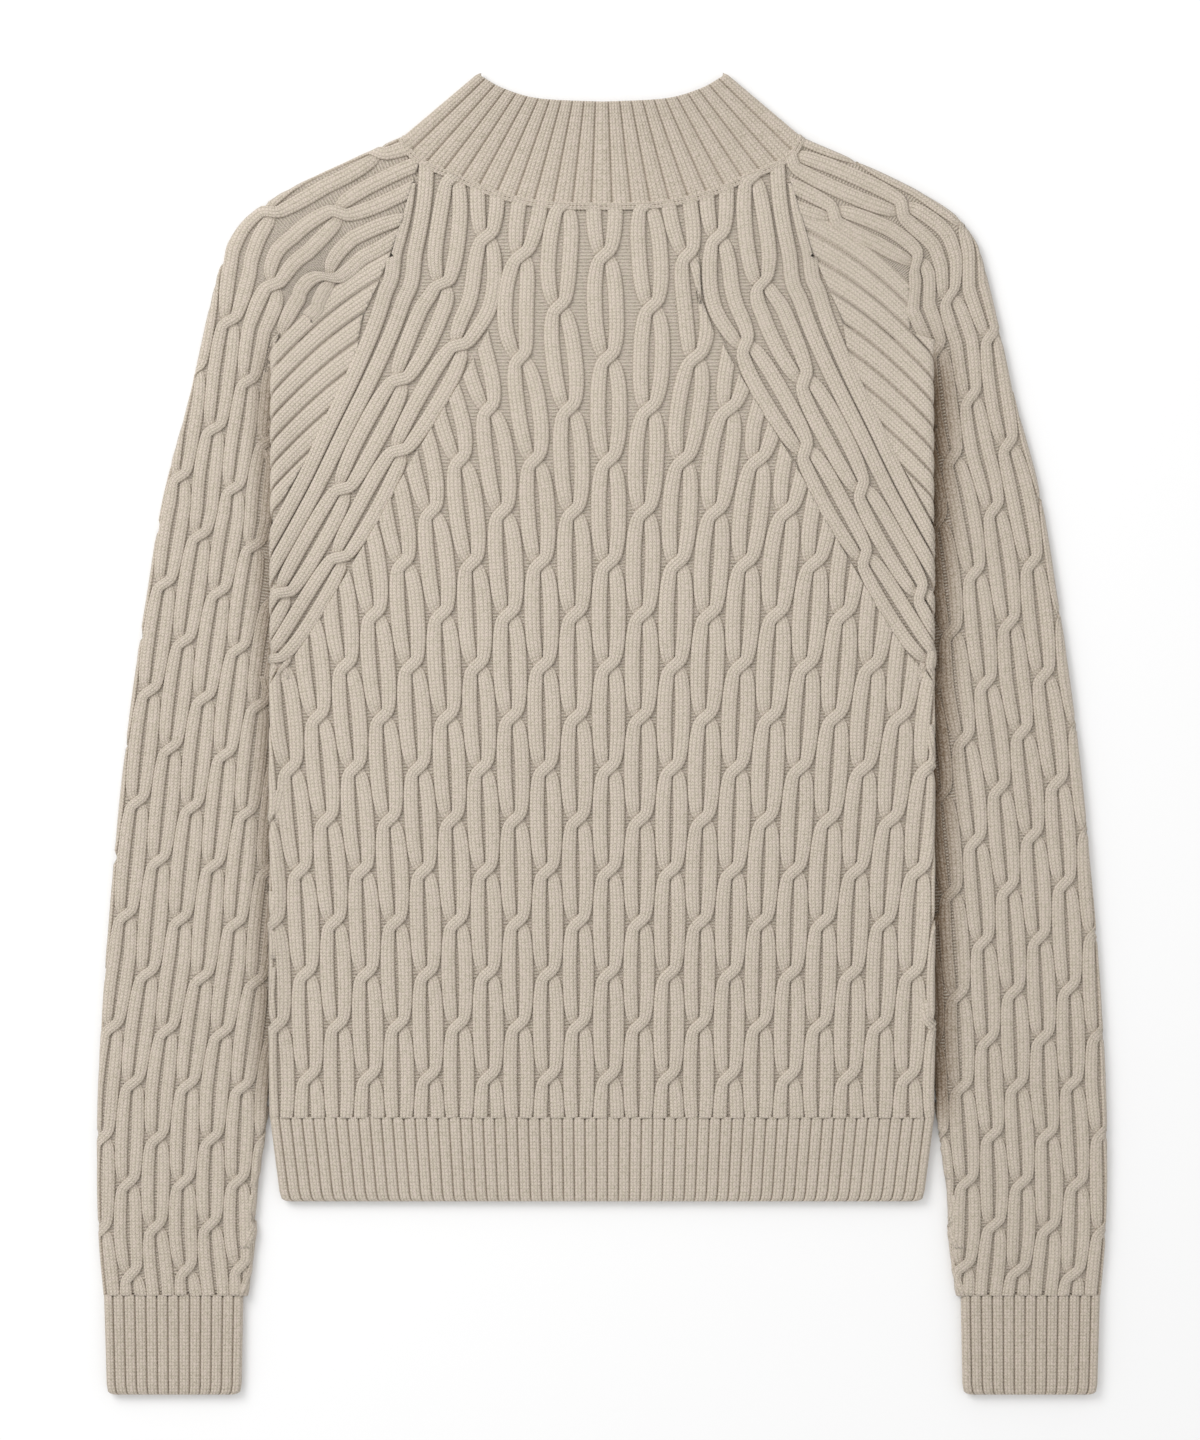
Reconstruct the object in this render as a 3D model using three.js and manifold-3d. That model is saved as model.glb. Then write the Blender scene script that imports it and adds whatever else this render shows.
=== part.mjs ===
// A cable knit sweater with a mock neck and raglan sleeves, laid flat with its back up.
// Millimetres. X runs across the garment, Y from the cuffs to the neck and Z up from the surface it lies on.
// The origin is on that surface, under the middle of the garment's outline.

import * as THREE from 'three';
import * as BufferGeometryUtils from 'three/addons/utils/BufferGeometryUtils.js';
import Module from 'manifold-3d';

const wasm = await Module();
wasm.setup();

// Cloth
const CLOTH = 2.4;
const GAP = 0.3;
const UPPER_LAYER = CLOTH + GAP;
const UPPER_FACE = UPPER_LAYER + CLOTH;
const CABLE_RELIEF = 2;
const RIB_RELIEF = 1.3;
const EDGE_ROUNDING = 9;

// Body
const HALF_CHEST = 199.5;
const HEM_SEAM = -229.5;
const HEM_EDGE = -280;
const HEM_EDGE_HALF = 191.5;
const HEM_RIBS = 59;

// Sleeves and cuffs
const CUFF_SEAM = -335.7;
const CUFF_EDGE = -395.7;
const CUFF_RIBS = 13;
const CUFF_SEAM_OUT = { inner: 214.2, outer: 298.8 };
const CUFF_EDGE_OUT = { inner: 215.4, outer: 297 };
const FOLD_RISE = 4.5;
const FOLD_WIDTH = 26;
const FOLD_TOP = 215;
const FOLD_BOTTOM = 26;

// Collar
const COLLAR_RIBS = 23;
const COLLAR_ROWS = 4;

// Points of the cloth across one cable: a groove, a strand, the groove between the strands, a strand
const CABLE_POINTS = 4;
const CABLE_HEIGHTS = [0, 1, 0.35, 1];
const CABLE_PLACES = [-0.5, -0.24, 0, 0.24];
const UNDER_STRAND_HEIGHT = 0.7;
const LENS_BULGE = 0.06;

// Each outline is a table of points on one side of the garment: out from its middle line, and up along it
const SLEEVE_OUTER = [
  { out: 120, up: 358 },
  { out: 151, up: 344 },
  { out: 181, up: 330 },
  { out: 199, up: 320 },
  { out: 214, up: 309 },
  { out: 223, up: 297 },
  { out: 228, up: 285 },
  { out: 238, up: 245 },
  { out: 248, up: 200 },
  { out: 261, up: 152 },
  { out: 270, up: 104 },
  { out: 284, up: 8 },
  { out: 294, up: -88 },
  { out: 301, up: -184 },
  { out: 303, up: -247 },
  { out: 302, up: -300 },
  { out: 299, up: -335.7 },
];
const SLEEVE_INNER = [
  { out: 199.8, up: 26 },
  { out: 199.8, up: -100 },
  { out: 199.8, up: -228 },
  { out: 204, up: -256 },
  { out: 207, up: -280 },
  { out: 207, up: -300 },
  { out: 212, up: -335.7 },
];
const RAGLAN = [
  { out: 58, up: 345 },
  { out: 58, up: 283 },
  { out: 61, up: 256 },
  { out: 70, up: 237 },
  { out: 85, up: 210 },
  { out: 115, up: 161 },
  { out: 138, up: 120 },
  { out: 177, up: 56 },
  { out: 194, up: 36 },
  { out: 199.5, up: 26 },
];
const NECK_SEAM = [
  { out: 0, up: 315.3 },
  { out: 30, up: 316.2 },
  { out: 51, up: 319.5 },
  { out: 68, up: 324.5 },
  { out: 85, up: 332 },
  { out: 103, up: 339.5 },
  { out: 114, up: 347 },
  { out: 120, up: 358 },
];
const COLLAR_EDGE = [
  { out: 0, up: 378.3 },
  { out: 37, up: 380.2 },
  { out: 58, up: 386 },
  { out: 70, up: 392.5 },
  { out: 75, up: 395.6 },
];
// The shoulder part of a sleeve and the arm meet on this line, and below its bend the shoulder part folds over
const SHOULDER_LINE = [
  { out: 106, up: 356 },
  { out: 121, up: 305 },
  { out: 136, up: 269 },
  { out: 154, up: 242 },
  { out: 180, up: 217 },
  { out: 196, up: 196 },
  { out: 199, up: 176 },
  { out: 199, up: 100 },
  { out: 199, up: 10 },
];

// Width of a cable on the body, which is stretched over the shoulders
const BODY_CABLES = [
  { up: -205, width: 17.9 },
  { up: -100, width: 18.3 },
  { up: 7, width: 19.3 },
  { up: 102, width: 20.4 },
  { up: 166, width: 22.2 },
  { up: 197, width: 24 },
  { up: 229, width: 27 },
  { up: 260, width: 29.4 },
  { up: 286, width: 27.5 },
  { up: 322, width: 23.7 },
];
const BODY = { middle: 4, firstCrossing: -205, halfRepeat: 30.7, cables: 27, rows: 38 };
// Where the first cable of the arm lies, in from the sleeve's outer edge
const ARM_CABLES = [
  { up: 266, inset: -2 },
  { up: 182, inset: 3 },
  { up: 140, inset: 10 },
  { up: -40, inset: 11.4 },
  { up: -130, inset: 10.5 },
  { up: -212, inset: 4.8 },
  { up: -300, inset: 2.1 },
];
// Where the crossings of the arm stand, along the sleeve's outer edge from the neck
const ARM_ROWS = [
  { crossing: -7, along: -58 },
  { crossing: 0, along: 170 },
  { crossing: 8, along: 431 },
  { crossing: 12, along: 568 },
  { crossing: 15, along: 668 },
  { crossing: 18, along: 751 },
  { crossing: 20, along: 807 },
];
const ARM = { width: 16.4, cables: 8, topCrossing: -6, lastCrossing: 19, turning: 45 };
const SHOULDER = {
  narrowing: 0.88,
  cables: 7,
  topCrossing: -4,
  lastCrossing: 7,
  firstCrossing: 121.6,
  halfRepeat: 36.6,
  turning: 40,
};

// Every cutting shape reaches past the cloth, below and above
const BELOW = -5;
const TALL = 40;
const PAST_NECK = 420;
const SLAB_SIDE = 1000;

// Line helpers
const mix = THREE.MathUtils.lerp;

function outlineCurve(table, side) {
  return new THREE.SplineCurve(table.map(({ out, up }) => new THREE.Vector2(side * out, up)));
}

function outline(table, side) {
  return outlineCurve(table, side).getPoints(2 * (table.length - 1));
}

function bothSides(table) {
  const left = outline(table, -1);
  const right = outline(table, 1);
  return [...left.reverse(), ...right.slice(1)];
}

function offset(points, distance) {
  return points.map((point, i) => {
    const before = points[Math.max(i - 1, 0)];
    const after = points[Math.min(i + 1, points.length - 1)];
    const along = after.clone().sub(before).normalize();
    return new THREE.Vector2(point.x - along.y * distance, point.y + along.x * distance);
  });
}

function lookUp(table, key, value, place) {
  const rows = table[0][key] < table[table.length - 1][key] ? table : [...table].reverse();
  const next = rows.findIndex((row) => row[key] >= place);
  if (next === 0) return rows[0][value];
  if (next < 0) return rows[rows.length - 1][value];
  const [low, high] = [rows[next - 1], rows[next]];
  return mix(low[value], high[value], (place - low[key]) / (high[key] - low[key]));
}

// A line through a table of points that gives its point and its smoothed direction at a length along it
function rail(table, side, turning) {
  const curve = outlineCurve(table, side);
  const length = curve.getLength();
  const at = (place) => {
    const inside = THREE.MathUtils.clamp(place, 0, length);
    const point = curve.getPointAt(inside / length);
    const tangent = curve.getTangentAt(inside / length);
    return point.addScaledVector(tangent, place - inside);
  };
  return { at, along: (place) => at(place + turning).sub(at(place - turning)).normalize() };
}

// Solids
function toSolid(geometry) {
  const plain = geometry.clone();
  plain.deleteAttribute('normal');
  plain.deleteAttribute('uv');
  const merged = BufferGeometryUtils.mergeVertices(plain, 1e-4);
  const vertProperties = new Float32Array(merged.attributes.position.array);
  const triVerts = new Uint32Array(merged.index.array);
  return new wasm.Manifold(new wasm.Mesh({ numProp: 3, vertProperties, triVerts }));
}

function toGeometry(solid) {
  const { vertProperties, triVerts } = solid.getMesh();
  const geometry = new THREE.BufferGeometry();
  geometry.setAttribute('position', new THREE.BufferAttribute(vertProperties, 3));
  geometry.setIndex(new THREE.BufferAttribute(triVerts, 1));
  return geometry;
}

function prism(points, bottom, top) {
  const geometry = new THREE.ExtrudeGeometry(new THREE.Shape(points), { depth: top - bottom, bevelEnabled: false });
  geometry.translate(0, 0, bottom);
  return toSolid(geometry);
}

function slabAbove(bottom) {
  const geometry = new THREE.BoxGeometry(SLAB_SIDE, SLAB_SIDE, TALL - bottom);
  geometry.translate(0, 0, (TALL + bottom) / 2);
  return toSolid(geometry);
}

// A block whose points stand in columns and rows; place(column, row) gives a point of its upper face.
// isCrossing tells where the edge down a cable's middle is turned, to run along the strand that passes over.
// The block reaches deeper than the cloth, and a plain face cuts it off, so its inner side has few faces.
function block({ columns, rows, place, isCrossing }) {
  const geometry = new THREE.BoxGeometry(columns, rows, 1, columns, rows, 1);
  const { position } = geometry.attributes;
  for (let i = 0; i < position.count; i += 1) {
    const column = Math.round(position.getX(i) + columns / 2);
    const row = Math.round(position.getY(i) + rows / 2);
    const point = place(column, row);
    position.setXYZ(i, point.x, point.y, position.getZ(i) > 0 ? point.z : BELOW);
  }
  if (isCrossing) turnCrossings(geometry, columns, rows, isCrossing);
  return toSolid(geometry);
}

function turnCrossings(geometry, columns, rows, isCrossing) {
  const upperFace = geometry.groups[4].start;
  for (let row = 0; row < rows; row += 1) {
    for (let column = 1; column < columns; column += CABLE_POINTS) {
      if (!isCrossing(Math.floor(column / CABLE_POINTS), row)) continue;
      const cell = upperFace + 6 * ((rows - 1 - row) * columns + column);
      const lowerLeft = geometry.index.getX(cell + 3);
      const upperRight = geometry.index.getX(cell + 8);
      geometry.index.setX(cell + 4, upperRight);
      geometry.index.setX(cell + 6, lowerLeft);
    }
  }
}

// Cables. Crossings stand in every second strip of rows, and neighbouring cables take turns at them.
function crosses(cable, strip, parity) {
  return (cable + strip + parity) % 2 === 0;
}

function cablePlace(column, row, parity) {
  const cable = Math.floor(column / CABLE_POINTS);
  const point = column % CABLE_POINTS;
  const bulge = crosses(cable, Math.floor(row / 2), parity) ? LENS_BULGE : -LENS_BULGE;
  return cable + CABLE_PLACES[point] + (point === 0 ? bulge : 0);
}

function cableHeight(column, row, parity) {
  const point = column % CABLE_POINTS;
  const crossing = crosses(Math.floor(column / CABLE_POINTS), Math.floor(row / 2), parity);
  const under = crossing && point === (row % 2 === 0 ? 3 : 1);
  return CABLE_RELIEF * (under ? UNDER_STRAND_HEIGHT : CABLE_HEIGHTS[point]);
}

function crossingTest(parity) {
  return (cable, row) => row % 2 === 0 && crosses(cable, row / 2, parity);
}

// Relief sinks towards a rounded edge
function rounding(distance) {
  return THREE.MathUtils.clamp(distance / EDGE_ROUNDING, 0.15, 1);
}

// Outlines cut from the cloth

const neckSeam = offset(bothSides(NECK_SEAM), -GAP);
const neckHalf = NECK_SEAM[NECK_SEAM.length - 1].out + 4;
const aboveNeckSeam = prism(
  [...neckSeam, new THREE.Vector2(neckHalf, PAST_NECK), new THREE.Vector2(-neckHalf, PAST_NECK)],
  BELOW,
  TALL,
);

function bodyOutline() {
  const right = outline(RAGLAN, 1).reverse();
  const left = outline(RAGLAN, -1);
  return [
    new THREE.Vector2(-HALF_CHEST, HEM_SEAM + GAP),
    new THREE.Vector2(HALF_CHEST, HEM_SEAM + GAP),
    ...right,
    ...left,
  ];
}

function sleeveOutline(side) {
  const raglan = offset(outline(RAGLAN, side), side * GAP);
  const outer = outline(SLEEVE_OUTER, side);
  const inner = outline(SLEEVE_INNER, side);
  outer[outer.length - 1].y += GAP;
  inner[inner.length - 1].y += GAP;
  const loop = [...outer, ...inner.reverse().slice(0, -1), ...raglan.reverse()];
  return side > 0 ? loop.reverse() : loop;
}

// Body
function backPanel() {
  const rowHeight = BODY.halfRepeat / 2;
  const bottomRow = BODY.firstCrossing - 2.5 * rowHeight;
  const middleCable = (BODY.cables - 1) / 2;
  const parity = (middleCable + 1) % 2;
  const place = (column, row) => {
    const up = bottomRow + row * rowHeight;
    const width = lookUp(BODY_CABLES, 'up', 'width', up);
    const x = BODY.middle + width * (cablePlace(column, row, parity) - middleCable);
    const edge = up < RAGLAN[RAGLAN.length - 1].up ? rounding(HALF_CHEST - Math.abs(x)) : 1;
    return { x, y: up, z: UPPER_FACE + edge * cableHeight(column, row, parity) };
  };
  const cloth = block({
    columns: BODY.cables * CABLE_POINTS,
    rows: BODY.rows,
    place,
    isCrossing: crossingTest(parity),
  });
  return cloth.intersect(prism(bodyOutline(), UPPER_LAYER, TALL)).subtract(aboveNeckSeam);
}

function frontPanel() {
  return prism(bodyOutline(), 0, CLOTH).subtract(aboveNeckSeam);
}

// Ribbed pieces: each rib is a groove and two points of a flat top
const RIB_POINTS = 3;
const RIB_PLACES = [0, 0.22, 0.78];

function ribs({ count, rows, bottom, corner }) {
  const columns = count * RIB_POINTS;
  const place = (column, row) => {
    const point = column % RIB_POINTS;
    const across = (Math.floor(column / RIB_POINTS) + RIB_PLACES[point]) / count;
    return { ...corner(across, row / rows), z: UPPER_FACE + (point === 0 ? 0 : RIB_RELIEF) };
  };
  return block({ columns, rows, place }).intersect(slabAbove(bottom));
}

function hemPlace(across, up) {
  const half = mix(HEM_EDGE_HALF, HALF_CHEST, up);
  return { x: mix(-half, half, across), y: mix(HEM_EDGE, HEM_SEAM, up) };
}

function backHem() {
  return ribs({ count: HEM_RIBS, rows: 1, bottom: UPPER_LAYER, corner: hemPlace });
}

function frontHem() {
  const corners = [[0, 0], [1, 0], [1, 1], [0, 1]].map(([across, up]) => hemPlace(across, up));
  return prism(corners.map(({ x, y }) => new THREE.Vector2(x, y)), 0, CLOTH);
}

// The thin gap between the two walls of a flattened tube, which is open at both ends
const SLOT_EDGE = 0.04;
const SLOT_PAST_END = 0.1;

function parting(points) {
  return prism(points, CLOTH, UPPER_LAYER);
}

function slotLoop(place, steps) {
  const line = (up) => steps.map((across) => place(across, up));
  const loop = [...line(-SLOT_PAST_END), ...line(1 + SLOT_PAST_END).reverse()];
  return loop.map(({ x, y }) => new THREE.Vector2(x, y));
}

function cuff(side) {
  const place = (across, up) => {
    const inner = mix(CUFF_EDGE_OUT.inner, CUFF_SEAM_OUT.inner, up);
    const outer = mix(CUFF_EDGE_OUT.outer, CUFF_SEAM_OUT.outer, up);
    const out = side > 0 ? mix(inner, outer, across) : mix(outer, inner, across);
    return { x: side * out, y: mix(CUFF_EDGE, CUFF_SEAM, up) };
  };
  const tube = ribs({ count: CUFF_RIBS, rows: 1, bottom: 0, corner: place });
  return tube.subtract(parting(slotLoop(place, [SLOT_EDGE, 1 - SLOT_EDGE])));
}

// Collar
function collar() {
  const seam = outlineCurve(NECK_SEAM, 1);
  const edge = outlineCurve(COLLAR_EDGE, 1);
  const place = (across, up) => {
    const side = Math.sign(across - 0.5) || 1;
    const share = Math.abs(across - 0.5) * 2;
    const low = seam.getPointAt(share);
    const high = edge.getPointAt(share);
    return { x: side * mix(low.x, high.x, up), y: mix(low.y, high.y, up) };
  };
  const tube = ribs({ count: COLLAR_RIBS, rows: COLLAR_ROWS, bottom: 0, corner: place });
  const steps = [SLOT_EDGE, 0.2, 0.35, 0.5, 0.65, 0.8, 1 - SLOT_EDGE];
  return tube.subtract(parting(slotLoop(place, steps)));
}

// Sleeves: the arm follows its outer edge, and the shoulder part follows the raglan seam
function foldRise(x, y) {
  const nearEdge = THREE.MathUtils.smoothstep(Math.abs(x), HALF_CHEST - FOLD_WIDTH, HALF_CHEST);
  const below = 1 - THREE.MathUtils.smoothstep(y, FOLD_TOP - 60, FOLD_TOP);
  const above = mix(0.3, 1, THREE.MathUtils.smoothstep(y, FOLD_BOTTOM, FOLD_BOTTOM + 50));
  return FOLD_RISE * nearEdge * below * above;
}

function armCloth(side) {
  const outer = rail(SLEEVE_OUTER, side, ARM.turning);
  const parity = side > 0 ? 0 : 1;
  const place = (column, row) => {
    const crossing = ARM.lastCrossing - Math.floor(row / 2) + (row % 2 === 0 ? 0.25 : -0.25);
    const length = lookUp(ARM_ROWS, 'crossing', 'along', crossing);
    const edge = outer.at(length);
    const along = outer.along(length);
    const cable = cablePlace(column, row, parity);
    const fromEdge = side > 0 ? ARM.cables - 2 - cable : cable - 1;
    const inset = lookUp(ARM_CABLES, 'up', 'inset', edge.y) + ARM.width * fromEdge;
    const x = edge.x + side * along.y * inset;
    const y = edge.y - side * along.x * inset;
    const fromRim = Math.min(Math.max(inset, 0), Math.abs(Math.abs(x) - HALF_CHEST));
    return { x, y, z: UPPER_FACE + rounding(fromRim) * cableHeight(column, row, parity) };
  };
  return block({
    columns: ARM.cables * CABLE_POINTS,
    rows: 2 * (ARM.lastCrossing - ARM.topCrossing) + 1,
    place,
    isCrossing: crossingTest(parity),
  });
}

function shoulderCloth(side) {
  const seam = rail(RAGLAN, side, SHOULDER.turning);
  const parity = 0;
  const place = (column, row) => {
    const crossing = SHOULDER.lastCrossing - Math.floor(row / 2) + (row % 2 === 0 ? 0.25 : -0.25);
    const length = SHOULDER.firstCrossing + SHOULDER.halfRepeat * crossing;
    const edge = seam.at(length);
    const along = seam.along(length);
    const cable = cablePlace(column, row, parity);
    const fromSeam = side > 0 ? cable - 1 : SHOULDER.cables - 2 - cable;
    const width = SHOULDER.narrowing * lookUp(BODY_CABLES, 'up', 'width', edge.y);
    const x = edge.x - side * along.y * width * (fromSeam + 0.5);
    const y = edge.y + side * along.x * width * (fromSeam + 0.5);
    return { x, y, z: UPPER_FACE + foldRise(x, y) + cableHeight(column, row, parity) };
  };
  return block({
    columns: SHOULDER.cables * CABLE_POINTS,
    rows: 2 * (SHOULDER.lastCrossing - SHOULDER.topCrossing) + 1,
    place,
    isCrossing: crossingTest(parity),
  });
}

function shoulderZone(side, overlap) {
  const line = offset(outline(SHOULDER_LINE, side), side * overlap);
  return prism([...line, new THREE.Vector2(0, 10), new THREE.Vector2(0, 356)], BELOW, TALL);
}

// The hollow under the fold keeps its cloth a wall
function foldHollow(side) {
  const outer = HALF_CHEST - 1.5 * CLOTH;
  const inner = HALF_CHEST - FOLD_WIDTH;
  const [columns, rows] = [6, 8];
  const place = (column, row) => {
    const out = mix(inner, outer, side > 0 ? column / columns : 1 - column / columns);
    const y = mix(FOLD_BOTTOM + 10, FOLD_TOP, row / rows);
    return { x: side * out, y, z: UPPER_LAYER + foldRise(out, y) };
  };
  return block({ columns, rows, place }).intersect(slabAbove(CLOTH));
}

function sleeveSlot(side) {
  const inset = 4;
  const outer = offset(outline(SLEEVE_OUTER, side), side * -inset);
  const inner = offset(outline(SLEEVE_INNER, side), side * inset);
  const past = (point) => new THREE.Vector2(point.x, CUFF_SEAM - 5);
  const underarm = new THREE.Vector2(side * (HALF_CHEST - 6), inner[0].y);
  return parting([
    new THREE.Vector2(side * 40, 400),
    ...outer,
    past(outer[outer.length - 1]),
    past(inner[inner.length - 1]),
    ...inner.reverse(),
    underarm,
    new THREE.Vector2(side * 40, 300),
  ]);
}

function sleeve(side) {
  const arm = armCloth(side).subtract(shoulderZone(side, -0.2));
  const shoulder = shoulderCloth(side).intersect(shoulderZone(side, 0));
  return arm
    .add(shoulder)
    .intersect(prism(sleeveOutline(side), 0, TALL))
    .subtract(aboveNeckSeam)
    .subtract(sleeveSlot(side).add(foldHollow(side)));
}

// The garment
const wool = new THREE.MeshStandardMaterial({ color: 0xcbc0b1, roughness: 0.95, metalness: 0 });
const sweater = new THREE.Group();

function addPiece(name, solid) {
  const mesh = new THREE.Mesh(toGeometry(solid), wool);
  mesh.name = name;
  sweater.add(mesh);
}

addPiece('back_panel', backPanel());
addPiece('front_panel', frontPanel());
addPiece('sleeve_left', sleeve(-1));
addPiece('sleeve_right', sleeve(1));
addPiece('collar', collar());
addPiece('back_hem', backHem());
addPiece('front_hem', frontHem());
addPiece('cuff_left', cuff(-1));
addPiece('cuff_right', cuff(1));

export default sweater;
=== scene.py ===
# %% [markdown]
# # A cable knit sweater, laid flat
# The part is a heavy wool pullover that lies on its front: two layers of cloth, one on the other, with a
# raglan sleeve at each side and ribs at the neck, the hem and the cuffs. A bump texture on the solids would
# look printed from the side, so this lesson knits each piece again, strand by strand, with bmesh operators.

import math

import bmesh
import bpy
import numpy as np
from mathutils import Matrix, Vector


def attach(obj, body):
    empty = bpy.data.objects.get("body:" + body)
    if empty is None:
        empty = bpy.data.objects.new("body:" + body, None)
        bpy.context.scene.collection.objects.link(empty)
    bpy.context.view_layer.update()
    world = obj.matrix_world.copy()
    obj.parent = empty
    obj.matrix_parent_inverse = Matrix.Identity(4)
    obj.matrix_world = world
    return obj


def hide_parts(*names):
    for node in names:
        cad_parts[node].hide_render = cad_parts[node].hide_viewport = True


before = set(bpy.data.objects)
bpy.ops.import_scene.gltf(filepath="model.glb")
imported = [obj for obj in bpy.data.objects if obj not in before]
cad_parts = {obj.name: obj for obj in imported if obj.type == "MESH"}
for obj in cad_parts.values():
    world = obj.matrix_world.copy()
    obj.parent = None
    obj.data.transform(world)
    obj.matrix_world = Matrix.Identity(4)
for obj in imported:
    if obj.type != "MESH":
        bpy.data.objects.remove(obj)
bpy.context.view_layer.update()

# %% [markdown]
# ## Camera
# The garment lies on the surface and is seen from straight above. A camera that isn't turned looks down, so
# it only has to be hung there. A long lens far away keeps the sleeves from leaning outwards, as on a garment
# shown flat in a shop.

# %% Camera over the table
MM = 0.001
VIEW_HEIGHT = 864.0
VIEW_CENTRE = (-1.2, 8.1)
LENS = 85.0
SENSOR = 36.0

camera_data = bpy.data.cameras.new("camera")
camera_data.lens = LENS
camera_data.sensor_width = SENSOR
camera = bpy.data.objects.new("camera", camera_data)
camera_height = VIEW_HEIGHT * LENS / SENSOR
camera.location = (VIEW_CENTRE[0] * MM, VIEW_CENTRE[1] * MM, camera_height * MM)
bpy.context.scene.collection.objects.link(camera)
bpy.context.scene.camera = camera
print("the camera hangs", round(camera_height), "mm over the garment")

# %% [markdown]
# ## Cloth
# All lengths here are in millimetres, and they are turned into metres when a mesh is made. Two layers of
# cloth are 7.3 mm thick together. In each layer a thin ground of purl stitches carries strands of plain
# stitches, which stand 2.1 mm proud of it. A wale is a column of stitches, and a course is a row of them.

# %% Thickness and gauge
THICK = 7.3
HALF = THICK / 2
STRAND_HEIGHT = 2.1
GROUND_RADIUS = HALF - STRAND_HEIGHT
TURN_RADIUS = GROUND_RADIUS + STRAND_HEIGHT / 2
GROUND_WALL = 1.1
WALE = 2.3
COURSE = 2.0
print("ten centimetres have", round(100 / WALE), "wales and", round(100 / COURSE), "courses")

# %% [markdown]
# ## Outlines
# The outlines are the ones that the solids were cut to: short lists of (x, y) points of the right half, seen
# from above, with y upwards to the neck. Curve objects could hold them, but with arrays it is easy to ask
# how wide a piece is at some height.

# %% Outlines of the pieces
HALF_CHEST = 199.5
HEM_SEAM = -229.5
CUFF_SEAM = -335.7
UNDERARM = 26.0
FOLD_TOP = 228.0

SLEEVE_OUTER = [
    (120, 358), (151, 344), (181, 330), (199, 320), (214, 309), (223, 297), (228, 285), (238, 245),
    (248, 200), (261, 152), (270, 104), (284, 8), (294, -88), (301, -184), (303, -247), (302, -300),
    (299, -335.7),
]
SLEEVE_INNER = [
    (195.5, 240), (195.5, 26), (195.5, -150), (196.5, -200), (199.8, -228), (204, -256), (207, -280),
    (207, -300), (212, -335.7),
]
RAGLAN = [
    (58, 345), (58, 283), (61, 256), (70, 237), (85, 210), (115, 161), (138, 120), (177, 56), (194, 36),
    (199.5, 26),
]
NECK_SEAM = [
    (0, 315.3), (30, 316.2), (51, 319.5), (68, 324.5), (85, 332), (103, 339.5), (114, 347), (120, 358),
]
SHOULDER_LINE = [
    (106, 356), (112, 334), (122.4, 299), (136.2, 266), (144, 248), (148.5, 224), (157.2, 200), (168, 179),
    (181, 158), (192.6, 137), (199.5, 120),
]


def smooth_line(points, pieces=12):
    """A curve through the points, as a dense polyline."""
    points = np.array(points, float)
    ends = np.vstack([points[0], points, points[-1]])
    made = []
    for i in range(len(points) - 1):
        t = np.linspace(0, 1, pieces, endpoint=i == len(points) - 2)[:, None]
        a, b, c, d = ends[i : i + 4]
        speed_in = (c - a) / 2
        speed_out = (d - b) / 2
        cubic = (2 * b - 2 * c + speed_in + speed_out) * t**3
        square = (-3 * b + 3 * c - 2 * speed_in - speed_out) * t**2
        made.append(cubic + square + speed_in * t + b)
    return np.vstack(made)


def out_at(points, up):
    """How far out a line lies at a height, where it has one point at each height."""
    line = smooth_line(points)
    order = np.argsort(line[:, 1])
    return np.interp(up, line[order, 1], line[order, 0])


def up_at(points, out):
    line = smooth_line(points)
    return np.interp(out, line[:, 0], line[:, 1])


print("the body is", 2 * HALF_CHEST, "mm wide")

# %% Soft steps and rails
def smoothstep(value, low, high):
    t = np.clip((value - low) / (high - low), 0, 1)
    return t * t * (3 - 2 * t)


def mix(low, high, share):
    return low + (high - low) * share


class Rail:
    """A line with its length along it, and a direction that turns slowly."""

    def __init__(self, points, turning):
        self.line = smooth_line(points)
        steps = np.linalg.norm(np.diff(self.line, axis=0), axis=1)
        self.length = np.concatenate([[0], np.cumsum(steps)])
        self.turning = turning

    def at(self, place):
        inside = np.clip(place, 0, self.length[-1])
        point = np.stack([np.interp(inside, self.length, self.line[:, i]) for i in (0, 1)], axis=-1)
        first = self.line[1] - self.line[0]
        last = self.line[-1] - self.line[-2]
        first, last = first / np.linalg.norm(first), last / np.linalg.norm(last)
        past = (place - inside)[..., None]
        return point + np.where(past < 0, first, last) * past

    def along(self, place):
        step = self.at(place + self.turning) - self.at(place - self.turning)
        return step / np.linalg.norm(step, axis=-1, keepdims=True)


outer_rail = Rail(SLEEVE_OUTER, 55)
raglan_rail = Rail(RAGLAN, 40)
print("a sleeve is", round(outer_rail.length[-1]), "mm long over its outer edge")

# %% [markdown]
# ## Laying cloth flat
# A flat garment is a flattened tube: its cloth lies level and turns round at the side in a tight half
# circle. So each piece is worked out on a flat plan, and one function bends the plan: a point keeps its
# height over the ground, and past the side it goes round the edge. A bend modifier could roll a straight
# edge, but not a curved one.

# %% Cloth that turns round its edge
EDGE_MIDDLE = HALF - math.pi / 2 * TURN_RADIUS


def stack(*parts):
    """Puts coordinates that may have different shapes side by side in the last axis."""
    return np.stack(np.broadcast_arrays(*parts), axis=-1)


def round_edge(inset, height):
    """Bends the plan round a tube's edge: gives the true inset from the edge, and the height over the table.
    Past a half turn the plan goes on along the underside."""
    angle = np.clip((HALF - inset) / TURN_RADIUS, 0, math.pi)
    beyond = np.maximum(HALF - inset - math.pi * TURN_RADIUS, 0)
    radius = GROUND_RADIUS + height
    flat = np.where(inset > HALF, inset, HALF + beyond)
    return flat - radius * np.sin(angle), HALF + radius * np.cos(angle)


print("two layers of cloth turn round an edge of radius", HALF, "mm")

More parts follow.
